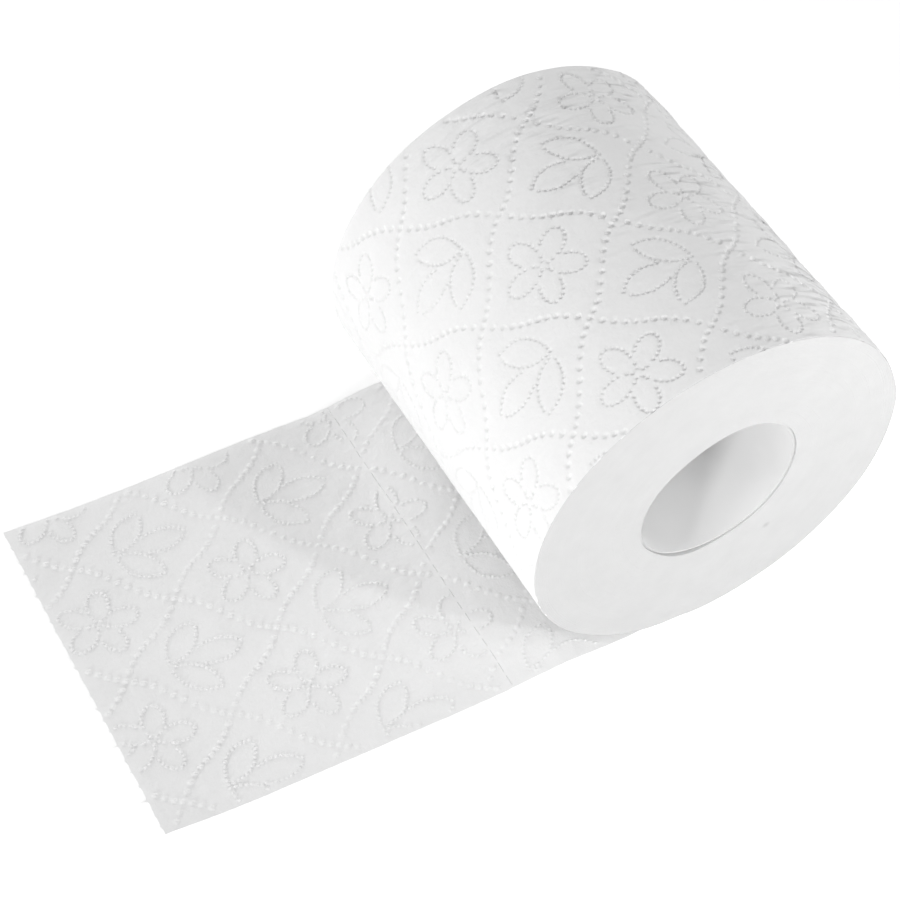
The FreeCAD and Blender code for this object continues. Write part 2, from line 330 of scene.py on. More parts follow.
def bezier(start, control, end, count=40):
    """Points on a curve with one control point."""
    t = np.linspace(0, 1, count)[:, None]
    start, control, end = (np.array(p, dtype=float) for p in (start, control, end))
    return (1 - t) ** 2 * start + 2 * t * (1 - t) * control + t ** 2 * end


def lattice_dots():
    """The two lines that leave a node towards smaller a, each a gentle S."""
    dots = []
    for side in (1, -1):
        for step in range(0 if side == 1 else 1, LATTICE_STEPS):
            t = step / LATTICE_STEPS
            swing = -LATTICE_SWING * math.sin(2 * math.pi * t)
            dots.append((-t * PERIOD_A / 2, side * t * PERIOD_B / 2 + swing))
    return np.array(dots)


def flower_dots():
    """Five petals as rounded loops, with a short line between each two."""
    tip = 10.2 * MM
    half_length = 4.1 * MM
    half_width = 2.75 * MM
    middle = tip - half_length
    reach = math.radians(122)
    angles = np.linspace(-reach, reach, 60)
    loop = np.stack([middle + half_length * np.cos(angles), half_width * np.sin(angles)], axis=1)
    petal = spaced_along(loop, MOTIF_SPACING)
    spoke = np.array([(r * MM, 0) for r in (1.3, 2.55, 3.8)])
    dots = []
    for number in range(5):
        dots.append(turned(petal, math.tau * number / 5))
        dots.append(turned(spoke, math.tau * (number + 0.5) / 5))
    return np.vstack(dots)


def sprig_dots():
    """Three pointed leaves from one base: one straight ahead and one curving out on each side."""
    base = (-8.5 * MM, 0.5 * MM)
    tip = (1.8 * MM, 10.3 * MM)
    outer = bezier(base, (-8.2 * MM, 10.8 * MM), tip)
    inner = bezier(tip, (0.4 * MM, 0.3 * MM), base)
    side_leaf = spaced_along(np.vstack([outer, inner[1:-1]]), MOTIF_SPACING, closed=True)
    front = (10.8 * MM, 0)
    back = (-4.6 * MM, 0)
    left = bezier(back, (4.6 * MM, 6.8 * MM), front)
    right = bezier(front, (4.6 * MM, -6.8 * MM), back)
    middle_leaf = spaced_along(np.vstack([left, right[1:-1]]), MOTIF_SPACING, closed=True)
    return np.vstack([side_leaf, side_leaf * (1, -1), middle_leaf])


def turned(points, angle):
    """Points turned about the origin."""
    c, s = math.cos(angle), math.sin(angle)
    return points @ np.array([[c, s], [-s, c]])


def pattern_dots(start, u_low, u_high, v_low, v_high):
    """Every dot of the web between two lengths u and two widths v: places and kinds."""
    c, s = math.cos(PATTERN_TILT), math.sin(PATTERN_TILT)
    lattice, flower, sprig = lattice_dots(), flower_dots(), sprig_dots()
    half_a, half_b = PERIOD_A / 2, PERIOD_B / 2
    groups = [
        (lattice, (half_a, 0), LATTICE),
        (lattice, (0, half_b), LATTICE),
        (flower, (0, 0), MOTIF),
        (sprig, (half_a, half_b), MOTIF),
    ]
    first = math.floor((u_low - start[0]) / PERIOD_A) - 2
    last = math.ceil((u_high - start[0]) / PERIOD_A) + 3
    places, kinds = [], []
    for dots, (a0, b0), kind in groups:
        for i in range(first, last):
            for j in range(-CELLS_ACROSS, CELLS_ACROSS + 1):
                a = dots[:, 0] + a0 + i * PERIOD_A
                b = dots[:, 1] + b0 + j * PERIOD_B
                u = start[0] + a * c + b * s
                v = start[1] - a * s + b * c
                inside = (u > u_low) & (u < u_high) & (v > v_low) & (v < v_high)
                places.append(np.stack([u[inside], v[inside]], axis=1))
                kinds += [kind] * int(inside.sum())
    return thinned(np.vstack(places), np.array(kinds))


def tree_of(places):
    """A search tree over places in a plane."""
    tree = kdtree.KDTree(len(places))
    for number, (u, v) in enumerate(places):
        tree.insert((u, v, 0), number)
    tree.balance()
    return tree


def thinned(places, kinds):
    """Leaves out each dot that lies too near to one before it."""
    tree = tree_of(places)
    kept = np.ones(len(places), dtype=bool)
    for number, (u, v) in enumerate(places):
        if kept[number]:
            for _, other, _ in tree.find_range((u, v, 0), LEAST_DOT_DISTANCE):
                if other > number:
                    kept[other] = False
    return places[kept], kinds[kept]


# Surfaces that carry the pattern


def fade(distance, reach):
    """1 at no distance, falling smoothly to 0 at the reach."""
    t = min(max(distance / reach, 0.0), 1.0)
    return 1 - t * t * (3 - 2 * t)


def dot_rings(places, kinds, emboss, draw):
    """The points of each dot's centre and rings, with the depth at each point."""
    points, depths = [], []
    for (u, v), kind in zip(places, kinds):
        dot = DOTS[kind]
        u += draw.uniform(-DOT_SHIFT, DOT_SHIFT)
        v += draw.uniform(-DOT_SHIFT, DOT_SHIFT)
        radius = dot["radius"] * draw.uniform(*DOT_SIZES)
        worn = noise.noise(Vector((u, v, 0.3)) / DOT_WEAR["size"])
        wear = DOT_WEAR["mean"] + DOT_WEAR["swing"] * worn
        depth = emboss[kind] * dot["depth"] * wear * draw.uniform(*DOT_DEPTHS)
        start = draw.uniform(0, math.tau)
        points.append((u, v))
        depths.append(depth)
        for number, (size, share) in enumerate(dot["rings"]):
            for side in range(dot["sides"]):
                angle = start + math.tau * (side + 0.5 * (number % 2)) / dot["sides"]
                along = DOT_STRETCH[0] * radius * size * math.cos(angle)
                across = DOT_STRETCH[1] * radius * size * math.sin(angle)
                points.append((u + along, v + across))
                depths.append(depth * share)
    return points, depths


def field_points(places, u_low, u_high, v_low, v_high, step):
    """A staggered field of points that stays clear of the dots."""
    tree = tree_of(places)
    points = []
    rows = int((v_high - v_low) / (step * FIELD_ROW))
    columns = int((u_high - u_low) / step)
    for row in range(1, rows):
        v = v_low + (v_high - v_low) * row / rows
        for column in range(1, columns):
            u = u_low + (u_high - u_low) * (column + 0.5 * (row % 2) - 0.25) / columns
            if tree.find((u, v, 0))[2] > FIELD_CLEARANCE:
                points.append((u, v))
    return points


def triangulated(points, edges=()):
    """Triangles over points in a plane, and for each resulting point the number of its source."""
    whole_hull = 0
    corners, _, faces, sources, _, _ = delaunay_2d_cdt(
        [Vector(p) for p in points], list(edges), [], whole_hull, MERGE_DISTANCE
    )
    return corners, faces, [s[0] if s else -1 for s in sources]


def set_soft_normals(mesh, soft_count):
    """Normals in which large faces count more, so flats stay flat. Later faces keep their own."""
    count = len(mesh.vertices)
    places = np.empty(count * 3)
    mesh.vertices.foreach_get("co", places)
    places = places.reshape(-1, 3)
    mesh.calc_loop_triangles()
    corners = np.empty(len(mesh.loop_triangles) * 3, dtype=np.int64)
    mesh.loop_triangles.foreach_get("vertices", corners)
    owners = np.empty(len(mesh.loop_triangles), dtype=np.int64)
    mesh.loop_triangles.foreach_get("polygon_index", owners)
    corners = corners.reshape(-1, 3)[owners < soft_count]
    a, b, c = (places[corners[:, i]] for i in range(3))
    areas = np.cross(b - a, c - a)
    normals = np.zeros((count, 3))
    for i in range(3):
        np.add.at(normals, corners[:, i], areas)
    normals /= np.maximum(np.linalg.norm(normals, axis=1, keepdims=True), 1e-20)
    of_corner = np.empty(len(mesh.loops), dtype=np.int64)
    mesh.loops.foreach_get("vertex_index", of_corner)
    corner_normals = normals[of_corner]
    for face in mesh.polygons[soft_count:]:
        first = face.loop_start
        corner_normals[first:first + face.loop_total] = face.normal
    mesh.normals_split_custom_set(corner_normals)


def make_object(name, points, faces, materials, slots=None, webs=None, soft_count=None):
    """A piece from points and faces, without the points that no face uses."""
    used = sorted({i for face in faces for i in face})
    number_of = {old: new for new, old in enumerate(used)}
    mesh = bpy.data.meshes.new(name)
    mesh.from_pydata([points[i] for i in used], [], [[number_of[i] for i in face] for face in faces])
    for material in materials:
        mesh.materials.append(material)
    if slots is not None:
        mesh.polygons.foreach_set("material_index", slots)
    mesh.polygons.foreach_set("use_smooth", [True] * len(faces))
    mesh.update()
    if webs is not None:
        attribute = mesh.attributes.new("web", "FLOAT_VECTOR", "POINT")
        attribute.data.foreach_set("vector", np.array([webs[i] for i in used]).ravel())
        set_soft_normals(mesh, soft_count)
    piece = bpy.data.objects.new(name, mesh)
    bpy.context.scene.collection.objects.link(piece)
    return piece


# The wound paper


def hump(angle, middle, half):
    """1 at the middle angle, falling smoothly to 0 at half the width from it."""
    away = abs((angle - middle + math.pi) % math.tau - math.pi)
    return 0.5 + 0.5 * math.cos(math.pi * away / half) if away < half else 0.0


def bulge(angle, y):
    """How far the soft roll stands out from a circle."""
    far = 0.5 + 0.5 * y / HALF_WIDTH
    return sum(
        (b["near"] + (b["far"] - b["near"]) * far) * hump(angle, b["middle"], b["half"])
        for b in BULGES
    )


def at_back(angle):
    """1 on the roll's crumpled back, falling to 0 on its left side and below."""
    return hump(angle, BACK["middle"], BACK["half"])


def crease(kind, u, v, layer):
    return kind["depth"] * noise.noise(Vector((u / kind["length"], v / kind["width"], layer)))


def wrinkles(u, v):
    """Unevenness of the wound tissue: soft hollows, and creases along the web, most at the back."""
    angle = u / ROLL_RADIUS - math.pi / 2
    around = Vector((math.cos(angle), math.sin(angle), 0)) * ROLL_RADIUS + Vector((0, 0, v))
    hollows = HOLLOWS["depth"] * noise.noise(around / HOLLOWS["size"])
    creased = crease(CREASES, u, v, 4) + crease(FINE_CREASES, u, v, 9)
    crumpled = LEAST_CRUMPLED + BACK_CRUMPLED * at_back(angle)
    return hollows + crumpled * creased


def rolled(u, v, depth):
    """Where a web point lies on the roll, pushed in by the depth. u runs up the +X side, and on
    the -X side the roll rests on the drawn-out sheet."""
    angle = u / ROLL_RADIUS - math.pi / 2
    bend = max(abs(v) - FLAT_V, 0.0) / RIM_RADIUS
    reach = RIM_RADIUS - depth
    radius = ROLL_RADIUS - RIM_RADIUS + bulge(angle, v) + reach * math.cos(bend)
    y = math.copysign(min(abs(v), FLAT_V) + reach * math.sin(bend), v)
    x, z = radius * math.cos(angle), radius * math.sin(angle)
    rest = FLOOR if 0 < u < LAP / 2 else FLOOR + SHEET_THICKNESS
    return (x, y, min(max(z, rest), WEB_HIGH.z + TOP_SLACK))


def barrel_dots():
    """The dots on the roll, each counted from its lowest line, and their kinds."""
    low = FREE_LENGTH + SEAM_MARGIN
    high = FREE_LENGTH + LAP - SEAM_MARGIN
    places, kinds = pattern_dots(ROLL_FLOWER, low, high, -FLAT_V, FLAT_V)
    return places - (FREE_LENGTH, 0), kinds


def barrel(draw):
    """The roll's outside with its rims: points, their places on the web, faces, and each edge."""
    places, kinds = barrel_dots()
    flat, depths = dot_rings(places, kinds, ROLL_EMBOSS, draw)
    for row in RIM_ROWS:
        for side in (1, -1):
            flat += [(LAP * column / AROUND, side * row) for column in range(1, AROUND)]
    flat += field_points(places, 0, LAP, -FLAT_V, FLAT_V, ROLL_FIELD_STEP)
    edge = {}
    for side in (1, -1):
        edge[side] = list(range(len(flat), len(flat) + AROUND + 1))
        flat += [(LAP * column / AROUND, side * REACH_V) for column in range(AROUND + 1)]
    seam = {}
    for u in (0, LAP):
        seam[u] = list(range(len(flat), len(flat) + BORDER_ROWS - 1))
        flat += [(u, REACH_V * (2 * row / BORDER_ROWS - 1)) for row in range(1, BORDER_ROWS)]
    depths += [0.0] * (len(flat) - len(depths))
    lines = tree_of(places[kinds == LATTICE])
    motifs = tree_of(places[kinds == MOTIF])
    corners, triangles, sources = triangulated(flat)
    points, webs = [], []
    number_of = {}
    for number, (corner, source) in enumerate(zip(corners, sources)):
        u, v = corner
        number_of[source] = number
        webs.append((u, v, 0.0))
        sag = LINE_SAG * fade(lines.find((u, v, 0))[2], LINE_REACH)
        sag += MOTIF_SAG * fade(motifs.find((u, v, 0))[2], MOTIF_REACH)
        kept = fade(abs(v) - FLAT_V, REACH_V - FLAT_V)
        crisp = 1 + BACK_CRISP * at_back(u / ROLL_RADIUS - math.pi / 2)
        depth = INSET - wrinkles(u, v) + (sag + crisp * depths[source]) * kept
        points.append(rolled(u, v, depth))
    same = {number_of[b]: number_of[a] for a, b in zip(seam[0], seam[LAP])}
    for side in (1, -1):
        same[number_of[edge[side][-1]]] = number_of[edge[side][0]]
    faces = [[same.get(i, i) for i in reversed(face)] for face in triangles]
    rims = {side: [number_of[i] for i in edge[side][:-1]] for side in (1, -1)}
    return points, webs, faces, rims


def column_angle(column):
    """The angle of a column of points, from the roll's lowest line up its +X side."""
    return math.tau * column / AROUND - math.pi / 2


def out_of_round(angle, y):
    """How far the bore and the tube stand out from a circle, most at the near face."""
    share = (1 + FAR_WAVES - (1 - FAR_WAVES) * y / HALF_WIDTH) / 2
    return share * sum(
        a * math.cos(wave * angle) + b * math.sin(wave * angle)
        for wave, (a, b) in BORE_WAVES.items()
    )


def paper_bore(angle, y):
    """The radius of the bore in the paper, which stands off the tube in one place."""
    near = fade(y + HALF_WIDTH, GAP["reach"])
    gap = near * GAP["height"] * hump(angle, GAP["middle"], GAP["half"])
    return PAPER_BORE + out_of_round(angle, y) + gap


def face_recess(radius, angle, side):
    """How deep a point of an end face lies: the edges of the turns never end quite level."""
    c, s = math.cos(angle), math.sin(angle)
    turn = FACE_STREAKS["turn"]
    streaks = noise.noise(Vector((radius / FACE_STREAKS["width"], turn * c, turn * s + 9 * side)))
    swell = noise.noise(Vector((radius * c, radius * s, 0.02 * side)) / FACE_SWELL["size"])
    return FACE_RECESS + FACE_STREAKS["depth"] * streaks + FACE_SWELL["depth"] * swell


def on_circle(radius, angle, y):
    return (radius * math.cos(angle), y, radius * math.sin(angle))


def end_face(points, rim, side):
    """Adds an end face's points, from the rim in. Returns its faces and the ring at the bore."""
    faces, ring = [], rim
    for step in range(1, FACE_RINGS + 1):
        share = step / FACE_RINGS
        following = []
        for column in range(AROUND):
            angle = column_angle(column)
            inner = paper_bore(angle, side * HALF_WIDTH)
            outer = ROLL_RADIUS - RIM_RADIUS + bulge(angle, side * HALF_WIDTH)
            radius = outer + (inner - outer) * share
            recess = face_recess(radius, angle, side)
            if step == FACE_RINGS:
                recess += BORE_RECESS
            following.append(len(points))
            points.append(on_circle(radius, angle, side * (HALF_WIDTH - recess)))
        faces += band(ring, following, side > 0)
        ring = following
    return faces, ring


def bore_wall(points, near_ring, far_ring):
    """Adds the points of the bore in the paper. Returns its faces."""
    faces, ring = [], near_ring
    for row in range(1, BORE_ROWS):
        y = HALF_WIDTH * (2 * row / BORE_ROWS - 1)
        following = []
        for column in range(AROUND):
            angle = column_angle(column)
            following.append(len(points))
            points.append(on_circle(paper_bore(angle, y), angle, y))
        faces += band(ring, following)
        ring = following
    return faces + band(ring, far_ring)


def wound_paper(draw):
    """The roll: its barrel, both end faces and the bore that the tube fills."""
    points, webs, faces, rims = barrel(draw)
    # Faces wholly on the rim take the cut ends' grey, which is painted shade there.
    slots = [int(all(abs(webs[i][1]) > SHADED_CUT_FROM for i in face)) for face in faces]
    bore_edge = {}
    for side in (1, -1):
        more, bore_edge[side] = end_face(points, rims[side], side)
        faces += more
    soft_count = len(faces)
    faces += bore_wall(points, bore_edge[-1], bore_edge[1])
    slots += [1] * (len(faces) - len(slots))
    webs += [(math.atan2(z, x) * ROLL_RADIUS, y, 0.0) for x, y, z in points[len(webs):]]
    return points, webs, faces, slots, soft_count


def band(first, second, turned_over=False):
    """Quads between two closed rings of points."""
    count = len(first)
    quads = []
    for i in range(count):
        j = (i + 1) % count
        quad = [first[i], first[j], second[j], second[i]]
        quads.append(quad[::-1] if turned_over else quad)
    return quads


# The drawn-out sheet


def even_noise(waves, x, y, layer):
    """Noise of one size both ways. The layer keeps two noises apart."""
    return waves["mean"] + noise.noise(Vector((x, y, layer)) / waves["size"])


def sheet_height(x, y):
    """How high the sheet's underside lies over the floor."""
    across = y / HALF_WIDTH
    along = (SWELL["start"] - x) / SWELL["length"]
    height = 0.0
    if 0 < along < 1:
        swell = 0.5 - 0.5 * math.cos(math.tau * along)
        height += SWELL["height"] * swell * (1 + SWELL["lean"] * across)
    curl = max(0.0, (TORN_END + LIFT["length"] - x) / LIFT["length"])
    height += LIFT["height"] * curl ** 2 * (1 + LIFT["lean"] * across)
    free = 1 - fade(SWELL["start"] - x, FREE_REACH)
    waves = SLOW_WAVES["height"] * max(0.0, even_noise(SLOW_WAVES, x, y, 0))
    waves += QUICK_WAVES["height"] * even_noise(QUICK_WAVES, x, y, 0.02)
    fine = noise.noise(Vector((x / FINE_WAVES["length"], y / FINE_WAVES["width"], 7)))
    waves += FINE_WAVES["height"] * (FINE_WAVES["mean"] + fine)
    height += free * waves
    return max(height, 0.0)


def sheet_thickness(x, y):
    """The sheet is full where it lies free and thins out towards its torn end and long edges."""
    inside = min(x - TORN_BASE, HALF_WIDTH - abs(y))
    return SHEET_THICKNESS - (SHEET_THICKNESS - EDGE_THICKNESS) * fade(inside, EDGE_REACH)


def drawn_in(x):
    """How much of the drawing-in of the far long edge is reached at a place along the sheet."""
    return 1 - fade(DRAW_IN["start"] - x, DRAW_IN["length"])


def side_line(draw):
    """The sheet's long edge: how far in it lies along x, hardly uneven."""
    return [
        (TORN_BASE * step / SIDE_STEPS, draw.uniform(0.0, SIDE_INSET))
        for step in range(1, SIDE_STEPS)
    ]


def torn_line(draw):
    """The torn end from the near edge to the far one: a thin ragged spike at most bonds."""
    line = [(TORN_CORNER, -HALF_WIDTH)]
    for number in range(PERF_COUNT):
        shift = draw.uniform(-TOOTH_SHIFT, TOOTH_SHIFT)
        middle = -HALF_WIDTH + PERF_PITCH * (number + 0.5 + shift)
        half = draw.uniform(*TOOTH_HALF)
        corner = abs(middle) / HALF_WIDTH
        reach = TOOTH * draw.choice(TOOTH_SHARES) * (0.6 + 0.4 * corner)
        hollow = draw.uniform(*TOOTH_HOLLOW)
        lean = draw.uniform(0.0, 0.5) * half
        line += [
            (TORN_BASE + hollow, middle - 0.32 * PERF_PITCH),
            (TORN_BASE + 0.4 * hollow, middle - 1.5 * half),
            (TORN_BASE - 0.2 * reach, middle - 0.7 * half),
            (TORN_BASE - 0.6 * reach, middle - 0.25 * half + 0.6 * lean),
            (TORN_BASE - reach, middle + lean),
            (TORN_BASE - 0.35 * reach, middle + 0.3 * half + 0.5 * lean),
            (TORN_BASE + 0.2 * hollow, middle + half + 0.6 * lean),
            (TORN_BASE + 0.7 * hollow, middle + 0.36 * PERF_PITCH),
        ]
    line.append((TORN_CORNER, HALF_WIDTH))
    return line


def perforation(draw):
    """The cuts across the sheet: lowest and highest x, then lowest and highest y of each."""
    cuts = []
    for number in range(PERF_COUNT):
        start = -HALF_WIDTH + PERF_PITCH * number
        end = -HALF_WIDTH + PERF_PITCH * (number + 1)
        low = start + 0.5 * PERF_BOND * draw.uniform(*PERF_BOND_SPREAD)
        high = end - 0.5 * PERF_BOND * draw.uniform(*PERF_BOND_SPREAD)
        openness = 0.6 + 0.5 * noise.noise(Vector((number / 2.3, 0.7, 0.0)))
        half_gap = 0.5 * PERF_GAP * min(max(openness + draw.uniform(-0.2, 0.2), 0.2), 1.0)
        x = PERF_X + draw.uniform(-PERF_SHIFT, PERF_SHIFT)
        cuts.append((x - half_gap, x + half_gap, low, high))
    return cuts


def sheet_dots():
    """The dots on the sheet, clear of its edges and cuts, and their kinds."""
    at_torn_end, under_roll = PATTERN_MARGINS
    places, kinds = pattern_dots(
        SHEET_FLOWER, at_torn_end, FREE_LENGTH - under_roll, -HALF_WIDTH, HALF_WIDTH
    )
    places = places - (FREE_LENGTH, 0)
    kept = np.abs(places[:, 1]) < HALF_WIDTH - DOT_MARGIN
    kept &= np.abs(places[:, 0] - PERF_X) > DOT_MARGIN
    kept &= places[:, 0] > TORN_BASE + DOT_MARGIN
    return places[kept], kinds[kept]


def sheet_field(places):
    """Points between the dots, clear of the cuts and the torn end."""
    field = field_points(places, TORN_BASE, 0, -HALF_WIDTH, HALF_WIDTH, SHEET_FIELD_STEP)
    return [
        (x, y) for x, y in field if abs(x - PERF_X) > CUT_MARGIN and x > TORN_BASE + TORN_MARGIN
    ]


def add_loop(flat, edges, loop):
    """Adds a closed line to the flat points, and its edges."""
    first = len(flat)
    flat.extend(loop)
    last = len(flat) - 1
    edges.extend((i, i + 1) for i in range(first, last))
    edges.append((last, first))


def paper_test(near, far, torn, cuts):
    """A test of a place on the flat sheet: inside the outline and in no cut."""
    torn_x = [x for x, _ in torn]
    torn_y = [y for _, y in torn]
    side_x = [x for x, _ in reversed(near)]
    near_y = [-HALF_WIDTH + inset for _, inset in reversed(near)]
    far_y = [HALF_WIDTH - inset for _, inset in reversed(far)]

    def in_paper(x, y):
        if x < np.interp(y, torn_y, torn_x):
            return False
        if abs(x - PERF_X) < MM and any(a < x < b and c < y < d for a, b, c, d in cuts):
            return False
        if abs(y) < HALF_WIDTH - SIDE_BELT:
            return True
        return np.interp(x, side_x, near_y) < y < np.interp(x, side_x, far_y)

    return in_paper


def sheet_sides(corners, depths):
    """The points of the underside and of the upper side, and each one's place on the web."""
    low, high, webs = [], [], []
    for (x, y), depth in zip(corners, depths):
        webs.append((FREE_LENGTH + x, y, 0.0))
        loose = fade(abs(x - TORN_BASE), FRILL["reach"])
        uneven = 0.5 + noise.noise(Vector((x, y, 0.5)) / FRILL["size"])
        z = FLOOR + sheet_height(x, y) + max(loose * FRILL["height"] * uneven, 0.0)
        there = y - DRAW_IN["width"] * drawn_in(x) * (0.5 + 0.5 * y / HALF_WIDTH)
        by_roll = fade(-x, NEAR_DRAW_IN["length"]) * (0.5 - 0.5 * y / HALF_WIDTH)
        there += NEAR_DRAW_IN["width"] * by_roll
        low.append((x, there, z + max(depth, 0.0)))
        high.append((x, there, z + sheet_thickness(x, y) + depth))
    return low, high, webs


def drawn_sheet(draw):
    """The sheet: one set of triangles for both sides, and walls along every edge and cut."""
    cuts = perforation(draw)
    places, kinds = sheet_dots()
    flat, depths = dot_rings(places, kinds, SHEET_EMBOSS, draw)
    flat += sheet_field(places)
    near, far, torn = side_line(draw), side_line(draw), torn_line(draw)
    outline = [(0.0, -HALF_WIDTH)]
    outline += [(x, -HALF_WIDTH + inset) for x, inset in near]
    outline += torn
    outline += [(x, HALF_WIDTH - inset) for x, inset in reversed(far)]
    outline.append((0.0, HALF_WIDTH))
    edges = []
    add_loop(flat, edges, outline)
    for low_x, high_x, low_y, high_y in cuts:
        add_loop(flat, edges, [(low_x, low_y), (high_x, low_y), (high_x, high_y), (low_x, high_y)])
    depths += [0.0] * (len(flat) - len(depths))
    corners, triangles, sources = triangulated(flat, edges)

    in_paper = paper_test(near, far, torn, cuts)
    faces = []
    for face in triangles:
        middle = sum((corners[i] for i in face), Vector((0, 0))) / 3
        if in_paper(middle.x, middle.y):
            faces.append(list(face))
    low, high, webs = sheet_sides(corners, [depths[s] if s >= 0 else 0.0 for s in sources])
    count = len(corners)
    solid = [[i + count for i in face] for face in faces]
    solid += [face[::-1] for face in faces]
    soft_count = len(solid)
    solid += walls(faces, count)
    return low + high, webs + webs, solid, soft_count


def walls(faces, count):
    """A quad for each edge that only one face has, from the underside to the upper side."""
    seen = {}
    for face in faces:
        for i, j in zip(face, face[1:] + face[:1]):
            seen[(i, j)] = True
    return [[i, j, j + count, i + count] for i, j in seen if (j, i) not in seen]


# The tube


def even_steps(start, end, count):
    return [start + (end - start) * step / count for step in range(count + 1)]


def tube_profile():
    """The wall's outline as radius and y, along the outside and back along the inside."""
    end = HALF_WIDTH - TUBE_INSET
    straight = end - TUBE_BEVEL
    profile = [(TUBE_RADIUS, y) for y in even_steps(-straight, straight, TUBE_ROWS)]
    profile += [(TUBE_RADIUS - TUBE_BEVEL, end), (BORE_RADIUS + TUBE_BEVEL, end)]
    profile += [(BORE_RADIUS, y) for y in even_steps(straight, -straight, TUBE_ROWS)]
    profile += [(BORE_RADIUS + TUBE_BEVEL, -end), (TUBE_RADIUS - TUBE_BEVEL, -end)]
    return profile


def board_tube():
    """The tube: open board with bevelled ends, as much out of round as the bore."""
    points, faces, rings = [], [], []
    for radius, y in tube_profile():
        ring = []
        for column in range(TUBE_AROUND):
            angle = math.tau * column / TUBE_AROUND
            ring.append(len(points))
            points.append(on_circle(radius + out_of_round(angle, y), angle, y))
        rings.append(ring)
    for first, second in zip(rings, rings[1:] + rings[:1]):
        faces += band(first, second, True)
    return points, faces


# Materials


class Shader:
    """A material under construction: short calls that add and join nodes."""

    def __init__(self, name):
        self.material = bpy.data.materials.new(name)
        self.material.use_nodes = True
        self.tree = self.material.node_tree
        self.surface = self.tree.nodes["Principled BSDF"]
        self.place = self.add("ShaderNodeTexCoord").outputs["Object"]

    def add(self, kind, inputs=None, **settings):
        node = self.tree.nodes.new(kind)
        for name, setting in settings.items():
            setattr(node, name, setting)
        for name, source in (inputs or {}).items():
            self.give(node.inputs[name], source)
        return node

    def give(self, socket, source):
        if isinstance(source, bpy.types.NodeSocket):
            self.tree.links.new(source, socket)
        else:
            socket.default_value = source

    def math(self, operation, first, second=0.0):
        node = self.add("ShaderNodeMath", operation=operation)
        self.give(node.inputs[0], first)
        self.give(node.inputs[1], second)
        return node.outputs[0]

    def noise(self, scale=1.0, detail=3.0, roughness=0.6, vector=None, stretch=None):
        source = vector or self.place
        if stretch:
            mapping = self.add("ShaderNodeMapping", {"Vector": source, "Scale": stretch})
            source = mapping.outputs["Vector"]
        inputs = {"Vector": source, "Scale": scale, "Detail": detail, "Roughness": roughness}
        return self.add("ShaderNodeTexNoise", inputs).outputs["Fac"]

    def blend(self, first, share, second):
        """A share of the first value and the rest of the second."""
        part = self.math("MULTIPLY", first, share)
        return self.math("ADD", part, self.math("MULTIPLY", second, 1.0 - share))

    def raised(self, base, share, value):
        """A base value and a share of another one."""
        return self.math("ADD", base, self.math("MULTIPLY", value, share))

    def map_range(self, value, low, high, at_low=0.0, at_high=1.0):
        """A value that goes from at_low to at_high while the given one goes from low to high."""
        inputs = {"Value": value, "From Min": low, "From Max": high}
        inputs.update({"To Min": at_low, "To Max": at_high})
        return self.add("ShaderNodeMapRange", inputs).outputs["Result"]

    def ramp(self, factor, low, high):
        """A colour between two greys, each a linear value, as the factor goes from 0.3 to 0.7."""
        node = self.add("ShaderNodeValToRGB", {"Fac": factor})
        for element, (position, grey) in zip(node.color_ramp.elements, ((0.3, low), (0.7, high))):
            element.position = position
            element.color = (*grey, 1.0)
        return node.outputs["Color"]

    def bump(self, height, distance, strength=1.0, normal=None):
        inputs = {"Height": height, "Distance": distance, "Strength": strength}
        if normal is not None:
            inputs["Normal"] = normal
        return self.add("ShaderNodeBump", inputs).outputs["Normal"]

    def finish(self, **inputs):
        for name, source in inputs.items():
            self.give(self.surface.inputs[name.replace("_", " ")], source)
        return self.material


def tissue(name, crease_depth):
    """Soft matt tissue: creases along the web, creped fibres across it and faint cloudy patches."""
    shader = Shader(name)
    web = shader.add("ShaderNodeAttribute", attribute_name="web").outputs["Vector"]
    clouds = shader.noise(scale=95.0, detail=4.0)
    patches = shader.map_range(shader.noise(scale=55.0, detail=1.0), 0.34, 0.58)
    folds = shader.noise(detail=1.0, roughness=0.5, vector=web, stretch=CREASE_SCALES)
    along, across, _ = shader.add("ShaderNodeSeparateXYZ", {"Vector": web}).outputs
    from_back = shader.math("SUBTRACT", along, shader.math("MULTIPLY", across, CREASE_SLANT))
    strength = shader.map_range(from_back, CREASE_FULL, CREASE_WEAK, 1.0, CREASE_LEFT)
    centred = shader.math("SUBTRACT", folds, 0.5)
    creases = shader.math("MULTIPLY", shader.math("MULTIPLY", centred, patches), strength)
    fibres = shader.noise(vector=web, stretch=FIBRE_SCALES)
    fluff = shader.noise(scale=2300.0, detail=2.0, roughness=0.7)
    soft = shader.noise(scale=420.0, roughness=0.55)
    normal = shader.bump(soft, SOFT_BUMP, 0.9)
    normal = shader.bump(creases, crease_depth, 1.0, normal)
    normal = shader.bump(fibres, FIBRE_BUMP, 0.7, normal)
    normal = shader.bump(fluff, FLUFF_BUMP, 0.7, normal)
    colour = shader.ramp(shader.blend(clouds, 0.6, fibres), PAPER_DARK, PAPER_LIGHT)
    return shader.finish(
        Base_Color=colour, Roughness=shader.raised(0.86, 0.12, clouds), Normal=normal,
        Specular_IOR_Level=0.15, Sheen_Weight=0.12, Sheen_Roughness=0.5,
    )


